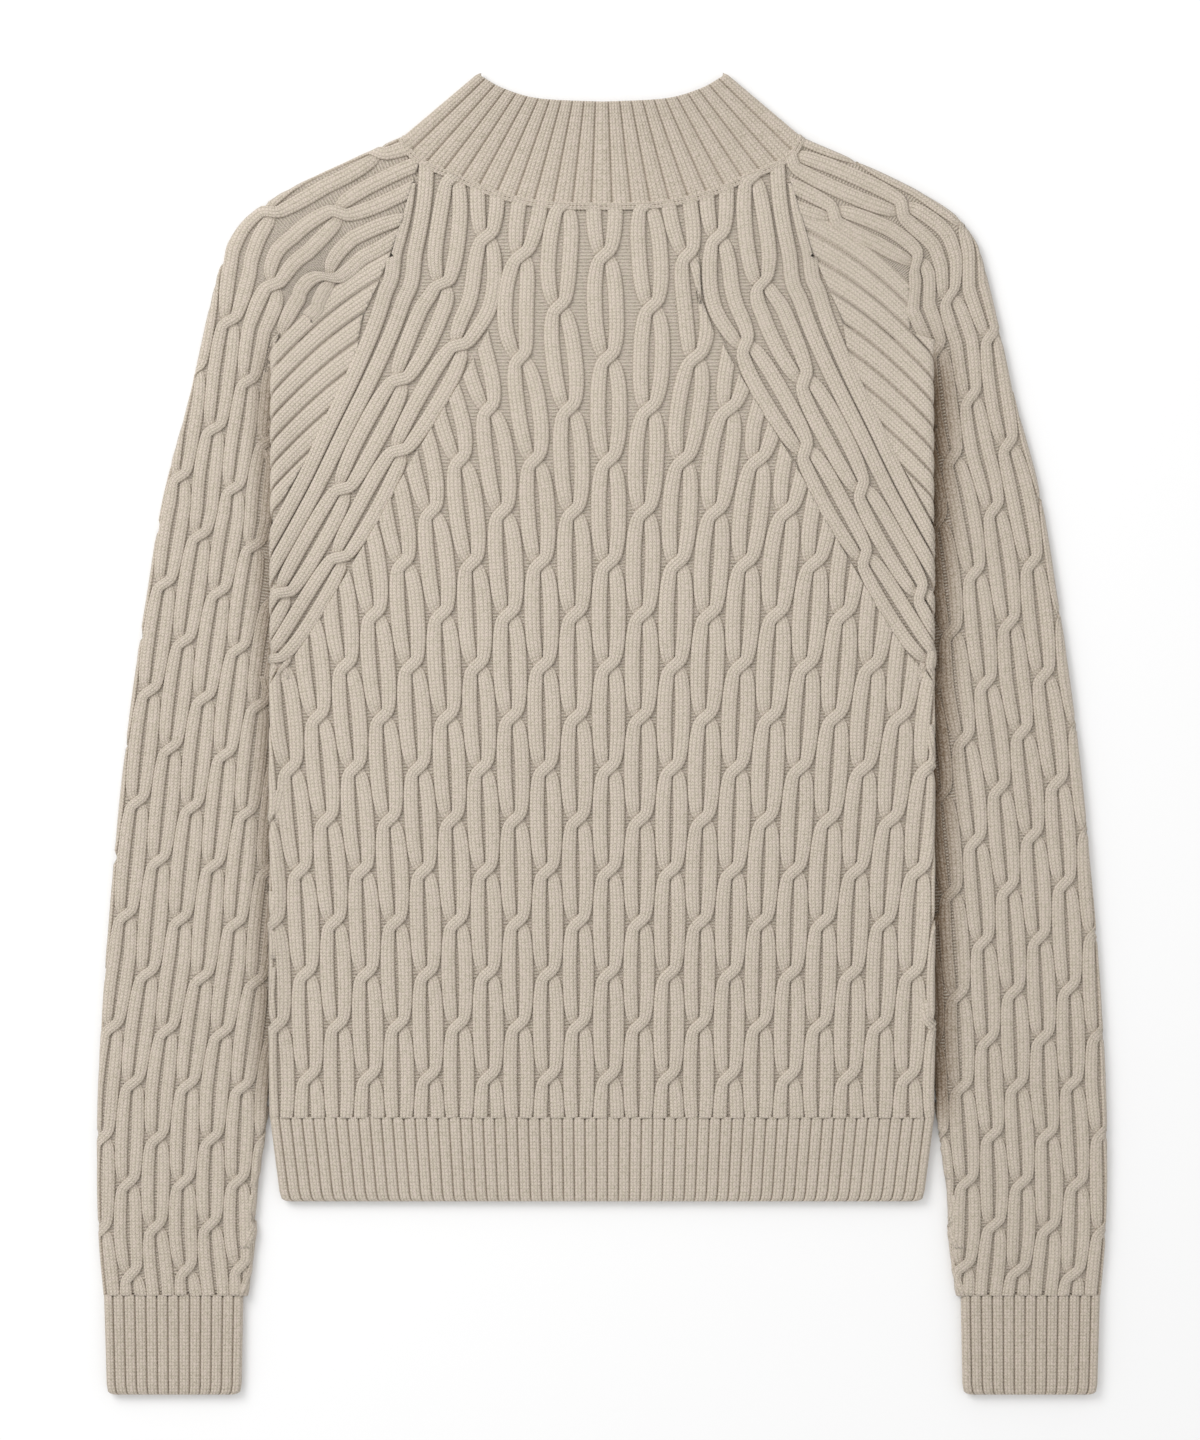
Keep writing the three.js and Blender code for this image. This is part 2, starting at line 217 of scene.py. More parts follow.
# %% [markdown]
# ## Where pieces lie on each other
# The body's side edges lie on the arms, and above the underarm so does a fold of the shoulder part. The body
# is lifted a little there, the fold stands higher, and the arm is pressed flatter under both. A cloth
# simulation could find these forms, but smooth steps put a few millimetres exactly where they belong.

# %% Lifted sides, the fold and the pressed arm
# Some values differ between the left side, -1, and the right side, 1
SIDE_LIFT = 3.0
SIDE_WIDTH = 12.0
FOLD_RISE = {-1: 3.2, 1: 4.6}
FOLD_WIDTH = 26.0
PRESSED = {-1: 0.58, 1: 0.66}
PRESSED_REACH = {-1: 15.0, 1: 21.0}


def by_side(x, values):
    return np.where(x > 0, values[1], values[-1])


def side_lift(out, up):
    beside_arm = smoothstep(up, HEM_SEAM, HEM_SEAM + 40)
    return SIDE_LIFT * smoothstep(out, HALF_CHEST - SIDE_WIDTH, HALF_CHEST) * beside_arm


def fold_rise(x, up):
    """The shoulder part lies in a fold over the arm, down to the underarm. It stands higher on the right."""
    near_edge = smoothstep(np.abs(x), HALF_CHEST - FOLD_WIDTH, HALF_CHEST)
    below = 1 - smoothstep(up, FOLD_TOP - 40, FOLD_TOP + 22)
    above = mix(0.65, 1.0, smoothstep(up, UNDERARM, UNDERARM + 50))
    return by_side(x, FOLD_RISE) * near_edge * below * above


def beside_body(x, up):
    """From 1 where the arm lies right beside the body or the fold to 0 where it is clear of them."""
    near = 1 - smoothstep(np.abs(x), HALF_CHEST - 3, HALF_CHEST + by_side(x, PRESSED_REACH))
    above_hem = smoothstep(up, HEM_SEAM - 20, HEM_SEAM + 20)
    return near * above_hem * (1 - smoothstep(up, FOLD_TOP - 30, FOLD_TOP + 25))


def arm_press(x, up):
    """The share of its thickness that the arm keeps where the body lies over its inner side."""
    return 1 - by_side(x, PRESSED) * beside_body(x, up)


def body_cloth(plan, height, under=False):
    x, y = plan[..., 0], plan[..., 1]
    inset, z = round_edge(HALF_CHEST - np.abs(x), height)
    z = THICK - z if under else z
    true_out = HALF_CHEST - inset
    return stack(np.sign(x) * true_out, y, z + side_lift(true_out, y))


print("under the body the arm keeps", round(float(arm_press(HALF_CHEST - 3, 0.0)), 2), "of its thickness")

# %% [markdown]
# ## One strand
# Every raised line of the cables is a strand three or four wales wide, with a flat top and rounded
# shoulders. A grid is rolled round this section along a path on the plan, merged into a tube, and cut off by
# a plane where it meets a seam. A curve with a bevel would be shorter, but its section can't follow the
# cloth round an edge. One UV map counts wales across and courses along, so the stitches follow the strand.
# The other keeps how high a point lies on the strand, which sets the painted shade towards its grooves, and
# how much painted light or shade the wool has there.

# %% A grid with its maps
SAME_PLACE = 1e-7
CUT_REACH = 30.0


def knitted_grid(points, stitches, painted_shade_map):
    """A grid in a new bmesh. Its points, stitch map and painted shade map are given as (rows, columns, ...).
    """
    rows, columns = points.shape[0] - 1, points.shape[1] - 1
    grid = bmesh.new()
    stitch_map = grid.loops.layers.uv.new("Stitches")
    painted_shade_layer = grid.loops.layers.uv.new("PaintedShade")
    bmesh.ops.create_grid(grid, x_segments=columns, y_segments=rows, size=0.5)
    grid.verts.ensure_lookup_table()
    cells = [(round((v.co.y + 0.5) * rows), round((v.co.x + 0.5) * columns)) for v in grid.verts]
    for face in grid.faces:
        face.smooth = True
        for loop in face.loops:
            cell = cells[loop.vert.index]
            loop[stitch_map].uv = stitches[cell]
            loop[painted_shade_layer].uv = painted_shade_map[cell]
    for v, cell in zip(grid.verts, cells):
        v.co = points[cell] * MM
    return grid


def close_up(grid, planes=()):
    """Merges a rolled grid into a tube, cuts it off at each plane near the plane's point, and fills the
    openings."""
    bmesh.ops.remove_doubles(grid, verts=grid.verts, dist=SAME_PLACE)
    for at, outwards in planes:
        near = [v for v in grid.verts if (v.co - at).xy.length < CUT_REACH * MM]
        near_verts = set(near)
        faces = [face for face in grid.faces if near_verts.issuperset(face.verts)]
        edges = dict.fromkeys(edge for face in faces for edge in face.edges)
        bmesh.ops.bisect_plane(
            grid, geom=[*near, *edges, *faces], dist=SAME_PLACE, plane_co=at, plane_no=outwards,
            clear_outer=True,
        )
    open_edges = [edge for edge in grid.edges if edge.is_boundary]
    bmesh.ops.holes_fill(grid, edges=open_edges, sides=0)
    bmesh.ops.recalc_face_normals(grid, faces=grid.faces)
    return grid


def join_into(bm, grid):
    part = bpy.data.meshes.new("part")
    grid.to_mesh(part)
    grid.free()
    bm.from_mesh(part)
    bpy.data.meshes.remove(part)

# %% A strand along a path
# Across the strand from its middle as a share of half its width, and height as a share of its height
SECTION = np.array([
    (-1.0, -0.25), (-0.97, 0.32), (-0.86, 0.74), (-0.55, 0.95), (0.0, 1.0),
    (0.55, 0.95), (0.86, 0.74), (0.97, 0.32), (1.0, -0.25),
])
STRAND_BOTTOM = -0.6
TABLE_GAP = 0.1
# Painted highlight: where a strand is lifted, at a crossing or on a chain stitch, its wool is painted
# lighter
PAINTED_LIGHT_WITH_LIFT = 0.05


def perpendicular(path):
    step = np.gradient(path, axis=0)
    step /= np.linalg.norm(step, axis=1, keepdims=True)
    return np.stack([step[:, 1], -step[:, 0]], axis=-1)


def strand_into(bm, path, width, lift, place, planes=(), shade=None):
    """Adds one strand to bm. path is its middle on the plan, place(plan, height) bends the plan into cloth,
    and shade(x, y) says how much painted shade darkens the wool."""
    section = np.vstack([SECTION, SECTION[:1]])
    across = perpendicular(path)
    plan = path[:, None, :] + across[:, None, :] * (section[None, :, 0:1] * width[:, None, None] / 2)
    raised = section[None, :, 1] * STRAND_HEIGHT + lift[:, None]
    points = place(plan, np.maximum(raised, STRAND_BOTTOM))
    points[..., 2] = np.maximum(points[..., 2], TABLE_GAP)
    along = np.concatenate([[0], np.cumsum(np.linalg.norm(np.diff(path, axis=0), axis=1))]) / COURSE
    wales = section[:, 0] * width.mean() / 2 / WALE
    # Painted highlight on the lifted stretches, less the painted shade
    lighter = PAINTED_LIGHT_WITH_LIFT * np.maximum(lift, 0)[:, None]
    if shade:
        lighter = lighter - shade(points[..., 0], points[..., 1])
    stitches = stack(wales[None, :], along[:, None])
    painted_shade_map = stack(np.maximum(section[None, :, 1], 0), lighter + 1)
    join_into(bm, close_up(knitted_grid(points, stitches, painted_shade_map), planes))


print("a strand has", len(SECTION), "points round it and stands", STRAND_HEIGHT, "mm over the ground")

# %% [markdown]
# ## Strands inside an outline
# The cables of a panel run on from edge to edge, and the outline says which stretches of a strand show. A
# boolean with the outline would be slow on hundreds of tubes. So each strand is made a little too long, and
# the depth inside the outline gives the point where it leaves the piece and the plane that cuts it off
# there.

# %% Stretches of a strand
OVERRUN = 18.0
SHALLOW = 3.0
SHORTEST = 3


def runs_inside(flat, depth):
    """The stretches of a strand that lie inside a piece, a little longer than they show, and the planes to
    cut them. flat is the strand's middle seen from above, and depth(points) is above 0 inside the piece."""
    depths = depth(flat)
    step = np.linalg.norm(flat[1] - flat[0])
    extra = int(math.ceil(OVERRUN / step))
    inside = np.flatnonzero(depths > 0)
    if not len(inside):
        return
    for run in np.split(inside, np.flatnonzero(np.diff(inside) > 1) + 1):
        first, last = run[0], run[-1]
        if depths[run].max() < SHALLOW or last - first <= SHORTEST:
            continue
        planes = []
        for end, beyond in ((first, first - 1), (last, last + 1)):
            if 0 <= beyond < len(flat):
                share = depths[end] / (depths[end] - depths[beyond])
                at = mix(flat[end], flat[beyond], share)
                slope = [depth(at + d) - depth(at - d) for d in (np.array([0.5, 0]), np.array([0, 0.5]))]
                planes.append((Vector((*at, 0)) * MM, Vector((-slope[0], -slope[1], 0)).normalized()))
        yield slice(max(first - extra, 0), min(last + extra + 1, len(flat))), planes


def mirrored(planes, side):
    return [(Vector((side * at.x, at.y, 0)), Vector((side * no.x, no.y, 0))) for at, no in planes]


print("a strand is made", OVERRUN, "mm too long at each end")

# %% [markdown]
# ## How a cable crosses
# A cable is two strands that change places every few centimetres. The strand that comes from the upper right
# passes over to the lower left, and the other dives under it. Both are drawn in and narrowed there, and
# swell apart in between. Neighbouring cables cross in turn, so that the wide part of one nests beside the
# crossing of the next. Sine curves leave no corners in the swing and the hump.

# %% The two strands of a cable
CROSSING = 4.5
HUMP = CROSSING + 4
PINCHED = 3.6
STRAIGHT = 3.0
OVER = 0.9
UNDER = 1.4
SWELL = 0.65
NARROWED = 0.8
STRAND_GAP = 0.3
WIDEST_STRAND = 9.7
WIDEST_REACH = 5.8


def cable_strands(strand, turns, repeat, width, crossed=True):
    """Sideways place to the right, lift, and width of a strand. turns counts crossings upwards, repeat is
    the way between two, and width is the cable's pitch."""
    full = np.minimum(width / 2 - STRAND_GAP, WIDEST_STRAND)
    if not crossed:
        side = 1.0 if strand else -1.0
        return side * width / 4, np.zeros_like(turns), full
    crossing = np.round(turns)
    past = (turns - crossing) * repeat
    over = np.where((crossing.astype(int) + strand) % 2 == 0, 1.0, -1.0)
    apart = np.clip((np.abs(past) - STRAIGHT) / (repeat / 2 - STRAIGHT), 0, 1)
    arch = 1 - (1 - apart) ** 2.7
    reach = mix(PINCHED, np.minimum(width / 4, WIDEST_REACH) + SWELL, arch)
    swing = np.sin(math.pi / 2 * np.clip(past / CROSSING, -1, 1))
    hump = np.cos(math.pi / 2 * np.clip(past / HUMP, -1, 1)) ** 2
    lift = np.where(over > 0, OVER, -UNDER) * hump
    drawn_in = 1 - (1 - apart) ** 5
    return over * reach * swing, lift, full * mix(NARROWED, 1.0, drawn_in)


print("a strand is up to", WIDEST_STRAND, "mm wide")

# %% [markdown]
# ## Wool
# The yarn is a soft oatmeal mix of cream, pink and grey fibres. The strands show plain stitches, small Vs in
# columns, and the ground shows purl stitches, rows of short bars. An image of knitting would blur and
# repeat, so both patterns come from sine waves of the stitch map. A small class lets the sums be written as
# sums.

# %% Sums of sockets
class Number:
    """A socket that takes part in Python sums: each operator adds a Math node."""

    def __init__(self, tree, socket):
        self.tree = tree
        self.socket = socket

    def maths(self, operation, *others):
        return self.tree.maths(operation, self, *others)

    def between(self, low, high):
        return self.maths("MAXIMUM", low).maths("MINIMUM", high)

    def __add__(self, other):
        return self.maths("ADD", other)

    def __sub__(self, other):
        return self.maths("SUBTRACT", other)

    def __rsub__(self, other):
        return self.tree.maths("SUBTRACT", other, self)

    def __mul__(self, other):
        return self.maths("MULTIPLY", other)

    def __pow__(self, other):
        return self.maths("POWER", other)

    def __rpow__(self, other):
        return self.tree.maths("POWER", other, self)

    __radd__ = __add__
    __rmul__ = __mul__


class Tree:
    """A material's nodes. One method makes any node from its type, its settings and its sockets' values."""

    def __init__(self, name):
        self.material = bpy.data.materials.new(name)
        self.material.use_nodes = True
        self.nodes = self.material.node_tree.nodes
        self.links = self.material.node_tree.links
        self.nodes.clear()

    def node(self, kind, settings, sockets):
        node = self.nodes.new(kind)
        for key, value in settings.items():
            setattr(node, key, value)
        pairs = sockets.items() if isinstance(sockets, dict) else enumerate(sockets)
        for key, value in pairs:
            if isinstance(value, Number):
                value = value.socket
            if isinstance(value, bpy.types.NodeSocket):
                self.links.new(value, node.inputs[key])
            else:
                node.inputs[key].default_value = value
        return node

    def number(self, kind, settings, sockets, output=0):
        return Number(self, self.node(kind, settings, sockets).outputs[output])

    def maths(self, operation, *values):
        return self.number("ShaderNodeMath", {"operation": operation}, values)

    def uv_numbers(self, name):
        """The two numbers of a UV map."""
        uv = self.node("ShaderNodeUVMap", {"uv_map": name}, {})
        parts = self.node("ShaderNodeSeparateXYZ", {}, {0: uv.outputs[0]})
        return Number(self, parts.outputs[0]), Number(self, parts.outputs[1])

# %% Stitches
def plain_stitch(u, v):
    """Height of plain stitches: each wale is a column of Vs, two legs that lean towards each other."""
    wale = u.maths("FRACT")
    from_middle = (0.5 - wale).maths("ABSOLUTE")
    course = (v + 1.1 * from_middle).maths("FRACT")
    across = (math.pi * wale).maths("SINE") ** 0.5
    along = (math.pi * course).maths("SINE") ** 0.7
    return across * (0.7 * along + 0.3)


def purl_stitch(u, v):
    """Height of purl stitches: rows of short bars, moved by half a wale in every second row."""
    bar = 0.5 * (2 * math.pi * v).maths("SINE") + 0.5
    half_step = 0.5 * (v - 0.25).maths("FLOOR")
    along = (math.pi * (u + half_step).maths("FRACT")).maths("SINE") ** 0.6
    return bar * (0.5 * along + 0.5)


print("a V of plain stitches is", WALE, "by", COURSE, "mm")

# %% [markdown]
# ## The three wools
# The same yarn is used everywhere, so one function makes the material of the strands, the ground and the
# ribs. Its tone is a sum: the stitch's height with painted shade towards its groove, fine fibres, flecks of
# heather, large soft clouds and the painted light and shade of the second UV map. Lamps alone would leave
# the grooves too light, because real fibres shade each other at a scale finer than the mesh.

# %% Yarn
YARN_CREAM = (0.595, 0.535, 0.432, 1)
YARN_ROSE = (0.555, 0.472, 0.402, 1)
# The colour that painted shade darkens the yarn towards
YARN_IN_PAINTED_SHADE = (0.17, 0.115, 0.07, 1)
FIBRE_SCALE = 1500.0
HEATHER_SCALE = 640.0
CLOUD_SCALE = 30.0
OPEN_FROM = 1.35
TONE_LEVEL = 1.835
LIGHTEST = 1.15


def wool(name, stitch, stitch_tone, groove_tone, brightness, bump):
    tree = Tree(name)
    height = stitch(*tree.uv_numbers("Stitches"))
    # This UV map holds how high a point lies on its strand, for painted shade in the grooves, and the
    # painted light and shade of the piece
    openness, extra = tree.uv_numbers("PaintedShade")
    place = tree.node("ShaderNodeTexCoord", {}, {}).outputs["Object"]

    def noise(scale, detail):
        return tree.number("ShaderNodeTexNoise", {}, {"Vector": place, "Scale": scale, "Detail": detail})

    fibre = noise(FIBRE_SCALE, 1.0)
    heather = noise(HEATHER_SCALE, 2.0)
    cloudy = noise(CLOUD_SCALE, 2.0)
    hue = (3.0 * heather - 1.0).between(0.0, 1.0)
    yarn = tree.node("ShaderNodeMix", {"data_type": "RGBA"}, {0: hue, 6: YARN_CREAM, 7: YARN_ROSE})
    # Painted shade: a strand's sides are darkened towards its groove, down to groove_tone
    open_light = groove_tone + (1 - groove_tone) * (OPEN_FROM * openness).maths("MINIMUM", 1.0)
    tone = (stitch_tone * height + (brightness - stitch_tone)) * open_light
    tone = tone + 0.6 * fibre + 0.95 * heather + 0.12 * cloudy + extra - TONE_LEVEL
    colour = tree.node(
        "ShaderNodeMix", {"data_type": "RGBA", "clamp_factor": False},
        {0: tone.between(0.0, LIGHTEST), 6: YARN_IN_PAINTED_SHADE, 7: yarn.outputs[2]},
    )
    normal = tree.node(
        "ShaderNodeBump", {}, {"Strength": 1.0, "Distance": bump * MM, "Height": height + 0.7 * fibre},
    )
    shader = tree.node("ShaderNodeBsdfPrincipled", {}, {
        "Base Color": colour.outputs[2],
        "Roughness": 0.92,
        "Specular IOR Level": 0.25,
        "Sheen Weight": 0.15,
        "Sheen Roughness": 0.5,
        "Normal": normal.outputs[0],
    })
    tree.node("ShaderNodeOutputMaterial", {}, {"Surface": shader.outputs[0]})
    return tree.material


strand_wool = wool(
    "strand_wool", plain_stitch, stitch_tone=0.36, groove_tone=0.55, brightness=1.12, bump=0.5
)
ground_wool = wool("ground_wool", purl_stitch, stitch_tone=0.95, groove_tone=1.0, brightness=1.5, bump=0.9)
rib_wool = wool("rib_wool", plain_stitch, stitch_tone=0.36, groove_tone=1.0, brightness=1.1, bump=0.5)
print("the yarns are", [material.name for material in (strand_wool, ground_wool, rib_wool)])

# %% [markdown]
# ## Ground and finishing
# The ground is the thin cloth between the strands: a grid with a thickness of its own from the solidify
# operator. A Solidify modifier would do the same, but the operator leaves a plain mesh whose triangles can
# be counted. Each piece rides on the one body of the frame and stands for its solid, which is hidden.

# %% Ground and finishing
def ground_into(bm, columns, rows, place, shade):
    """Adds a sheet of ground to bm. place(u, v) gives its points and the lengths that stitches count, and
    shade(x, y) its painted shade.
    """
    v, u = np.meshgrid(np.linspace(0, 1, rows + 1), np.linspace(0, 1, columns + 1), indexing="ij")
    points, lengths = place(u, v)
    painted_shade_map = stack(1.0, 1.0 - shade(points[..., 0], points[..., 1]))
    sheet = knitted_grid(points, lengths / [WALE, COURSE], painted_shade_map)
    sheet.normal_update()
    outwards = sum(face.normal.z * (face.calc_center_median().z - HALF * MM) for face in sheet.faces)
    if outwards < 0:
        bmesh.ops.reverse_faces(sheet, faces=sheet.faces)
    bmesh.ops.solidify(sheet, geom=sheet.faces[:], thickness=GROUND_WALL * MM)
    bmesh.ops.recalc_face_normals(sheet, faces=sheet.faces)
    join_into(bm, sheet)


def finish_piece(bm, name, material, node):
    mesh = bpy.data.meshes.new(name)
    bm.to_mesh(mesh)
    bm.free()
    mesh.materials.append(material)
    piece = bpy.data.objects.new(name, mesh)
    bpy.context.scene.collection.objects.link(piece)
    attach(piece, "root")
    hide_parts(node)
    print(name, "has", sum(len(p.vertices) - 2 for p in mesh.polygons), "triangles")
    return piece

# %% [markdown]
# ## The body
# The back is one panel with cables from side to side, 18 mm wide at the hem and stretched to 28 mm across
# the shoulder blades, where the ground opens and is painted lighter. The front is knitted in the same way
# and lies underneath, so the same functions make it, turned over, with longer steps because it is only seen
# from below.

# %% The body's cables
# Height over the middle of the garment, and the cables' pitch there
BODY_CABLES = np.array([
    (-205, 17.9), (-100, 18.3), (7, 19.3), (102, 20.4), (166, 22.2), (197, 24), (229, 26.6), (260, 28.4),
    (286, 27.5), (322, 23.7),
])
BODY_FIRST_CROSSING = -205.0
BODY_HALF_REPEAT = 30.7
CABLES_EACH_SIDE = 12


def body_width(up):
    """The cables' pitch at a height, as the mean over a few centimetres, so that it changes softly."""
    spread = np.linspace(-22, 22, 9)[:, None]
    return np.interp(np.ravel(up) + spread, *BODY_CABLES.T).mean(axis=0).reshape(np.shape(up))


def cable_middle(k, up):
    """Where cable k runs. Towards the neck the outer cables are drawn to the middle."""
    middle = 4.0 - 2.5 * smoothstep(up, 200, 280)
    closer = 4.5 * smoothstep(up, 230, 290) * max(abs(k) - 1, 0)
    return middle + body_width(up) * k - np.sign(k) * closer


print("the cables' pitch is", [round(float(body_width(up)), 1) for up in (HEM_SEAM, UNDERARM, 260)], "mm")

# %% Strands of a body panel
SEAM_LAP = 0.3
RIB_LAP = 0.5
PAST_EDGE = 5.5
TOP_STEP = 2.6
UNDER_STEP = 5.0


def below_neck_seam(x, y):
    return np.where(np.abs(x) < 120, up_at(NECK_SEAM, np.abs(x)) + RIB_LAP - y, 50.0)


def body_depth(points, under):
    """The depth inside the panel. The strands of the upper side go on round its edges."""
    x, y = np.abs(points[..., 0]), points[..., 1]
    seam = np.where(y > UNDERARM, out_at(RAGLAN, y), HALF_CHEST + (0 if under else PAST_EDGE))
    return np.minimum.reduce([seam + SEAM_LAP - x, below_neck_seam(x, y), y - HEM_SEAM + RIB_LAP])


def body_strands(bm, under, step):
    up = np.arange(HEM_SEAM - 15, 335, step)
    width = body_width(up)
    for k in range(-CABLES_EACH_SIDE, CABLES_EACH_SIDE + 1):
        turns = (up - BODY_FIRST_CROSSING) / (2 * BODY_HALF_REPEAT) - (k % 2) / 2
        for strand in (0, 1):
            sideways, lift, wide = cable_strands(strand, turns, 2 * BODY_HALF_REPEAT, width)
            path = np.stack([cable_middle(k, up) + sideways, up], axis=-1)
            for stretch, planes in runs_inside(path, lambda at: body_depth(at, under)):
                strand_into(
                    bm, path[stretch], wide[stretch], lift[stretch],
                    lambda plan, height: body_cloth(plan, height, under), planes,
                )

# %% Ground of a body panel
OPEN_GROUND_PAINTED_LIGHT = 0.16


def open_ground_shade(x, y):
    """Painted light: where the ground is stretched open, towards the neck, it is painted lighter, so its
    shade is below 0.
    """
    return -OPEN_GROUND_PAINTED_LIGHT * smoothstep(y, 60, 220) + 0 * x


def body_ground(under):
    def place(u, v):
        level = mix(HEM_SEAM - 0.5, NECK_SEAM[0][1], v)
        reach = np.where(level > UNDERARM, out_at(RAGLAN, level) + 0.5, HALF_CHEST - EDGE_MIDDLE)
        x = (2 * u - 1) * reach
        # The upper rows bend up to the neck seam, and the high power leaves the lower ones straight
        y = level + v**8 * (up_at(NECK_SEAM, np.abs(x)) + 0.5 - NECK_SEAM[0][1])
        plan = np.stack([x, y], axis=-1)
        return body_cloth(plan, np.zeros_like(x), under), plan

    return place

# %% The back and the front
def body_panel(name, under, step, columns, rows):
    node = name + "_panel"
    strands = bmesh.new()
    body_strands(strands, under, step)
    cables = finish_piece(strands, name + "_cables", strand_wool, node)
    sheet = bmesh.new()
    ground_into(sheet, columns, rows, body_ground(under), open_ground_shade)
    return finish_piece(sheet, name + "_ground", ground_wool, node), cables


back_ground, back_cables = body_panel("back", False, TOP_STEP, 110, 130)
front_ground, front_cables = body_panel("front", True, UNDER_STEP, 60, 60)

# %% [markdown]
# ## The arms
# A raglan sleeve has two regions of cables. Over the arm they follow its outer edge, and along the raglan
# seam they follow the seam. Each region has its own plan, with one direction along that line and one away
# from it. The arm's plan goes on round the outer edge to the underside, and closes again at the inner edge.
# Where its cables lie follows no simple rule, so two short tables keep it.

# %% Where the arm's cables run
# Along the outer edge from the neck: how far inside it the outermost cable lies, and the cables' pitch
ARM_CABLES = {
    -1: np.array([
        (-20, -21, 23), (55, -21.4, 24), (93, -20.5, 27), (134, -10, 23), (170, -2.8, 17), (202, 0, 16.4),
        (240, 4, 16.4), (284, 10, 16.4), (466, 11.4, 16.4), (556, 10.5, 16.4), (638, 4.8, 16.4),
        (726, 2.1, 16.4),
    ]),
    1: np.array([
        (-20, -24, 20), (75, -25, 20), (111, -20, 19), (149, -10, 18), (181, -10, 16.6), (247, -4.6, 17),
        (320, -4.4, 17.4), (388, -1.6, 17.6), (453, -1.4, 17.4), (514, 0.5, 17), (577, 2.7, 16.7),
        (635, 4.8, 16.5), (696, 2.6, 16.4), (726, 2.1, 16.4),
    ]),
}
# The same way along the edge, and the row of crossings that stands there
ARM_ROWS = {
    -1: np.array([
        (-95, -7), (55, -3), (93, -2), (134, -1), (170, 0), (431, 8), (568, 12), (668, 15), (751, 18),
        (835, 21),
    ]),
    1: np.array([
        (-75, -7), (75, -3), (111, -2), (149, -1), (181, 0), (247, 2), (320, 4), (388, 6), (453, 8),
        (514, 10), (577, 12), (635, 14), (696, 16), (751, 18), (835, 21),
    ]),
}


def arm_flat(inset, along):
    """The place seen from above of a point that lies inset from the outer edge, on the right side."""
    edge, direction = outer_rail.at(along), outer_rail.along(along)
    x = edge[..., 0] + direction[..., 1] * inset
    y = edge[..., 1] - direction[..., 0] * inset
    return np.stack([x, y], axis=-1)


def arm_limit(flat, under_body=SLEEVE_INNER):
    """How far a place is outside the body and the shoulder part."""
    x, y = flat[..., 0], flat[..., 1]
    above_fold = smoothstep(y, FOLD_TOP - 2, FOLD_TOP + 14)
    return x - mix(out_at(under_body, y), out_at(SHOULDER_LINE, y), above_fold)


places_along = np.arange(-70.0, 830.0, 5.0)
places_in = np.arange(0.0, 230.0, 0.5)
reached = arm_limit(arm_flat(places_in[None, :], places_along[:, None])) < 0
inner_edge = np.where(reached.any(axis=1), places_in[reached.argmax(axis=1)], places_in[-1])
closed_there = (arm_flat(inner_edge, places_along)[:, 1] < FOLD_TOP - 3).astype(float)
print("the arm is", round(float(np.interp(600, places_along, inner_edge)), 1), "mm wide at the elbow")

# %% The arm's cloth
ARM_TONE = 0.04
# Painted light on the arm's ground, as a painted shade below 0
ARM_GROUND_PAINTED_SHADE = -0.12
# Painted shade beside the body's edge and the fold, on the left and on the right
BESIDE_BODY_PAINTED_SHADE = {-1: 0.45, 1: 0.95}
EDGE_STRAND_SHARE = 0.8
SUNK = 1.5


def arm_cloth(side):
    """The arm's plan, bent round its outer edge, closed at its inner edge and pressed under the body."""

    def place(plan, height):
        inset, along = plan[..., 0], plan[..., 1]
        on_top = inset > EDGE_MIDDLE
        at_edge = 1 - smoothstep(np.abs(inset - EDGE_MIDDLE), 3, 9)
        level = np.minimum(height, mix(height, STRAND_HEIGHT * EDGE_STRAND_SHARE, at_edge))
        true_inset, z = round_edge(inset, level)
        width = np.interp(along, places_along, inner_edge)
        from_inner, inner_z = round_edge(width - true_inset, np.minimum(height, STRAND_HEIGHT))
        closes = np.interp(along, places_along, closed_there) > 0.5
        at_inner = (np.where(on_top, inset, true_inset) > width - HALF) & closes
        z = np.where(at_inner, np.where(on_top, inner_z, THICK - inner_z), z)
        true_inset = np.where(at_inner, width - from_inner, true_inset)
        flat = arm_flat(true_inset, along)
        x, y = side * flat[..., 0], flat[..., 1]
        sunk = SUNK * smoothstep(-arm_limit(flat), 0, 4)
        return stack(x, y, np.where(on_top, z - sunk, z + sunk) * arm_press(x, y))

    return place


# Painted shade on the arm: a little darker all over, and darker beside the body's edge and the fold, which
# shade it
def arm_shade(x, y):
    return ARM_TONE + by_side(x, BESIDE_BODY_PAINTED_SHADE) * beside_body(x, y)


# Painted light on the arm's ground, with the same painted shade beside the body
def arm_ground_shade(x, y):
    return arm_shade(x, y) - ARM_TONE + ARM_GROUND_PAINTED_SHADE

# %% Strands of an arm
CLEAR_OF_BODY = 225.0
BODY_SIDE = [(197.5, 0), (197.5, 300)]
LAST_OVER_SHOULDER = 3
ARM_PAST_EDGE = 5.0
SHORT_OF_EDGE = 0.5


def arm_depth(flat, past_edge):
    """The depth inside the arm. Below the body a strand goes on round the arm's inner edge for past_edge."""
    x, y = flat[..., 0], flat[..., 1]
    under_body = arm_limit(flat, BODY_SIDE) + SEAM_LAP
    clear = x - out_at(SLEEVE_INNER, y) + past_edge
    limit = mix(under_body, clear, smoothstep(-y, CLEAR_OF_BODY, CLEAR_OF_BODY + 30))
    return np.minimum.reduce([limit, below_neck_seam(x, y), y - CUFF_SEAM + RIB_LAP])


def cuts_off(plane):
    """Beside the hem and below it a strand goes round the arm's inner edge, and only the cuff cuts it."""
    return not CUFF_SEAM + 3 < plane[0].y / MM < -CLEAR_OF_BODY


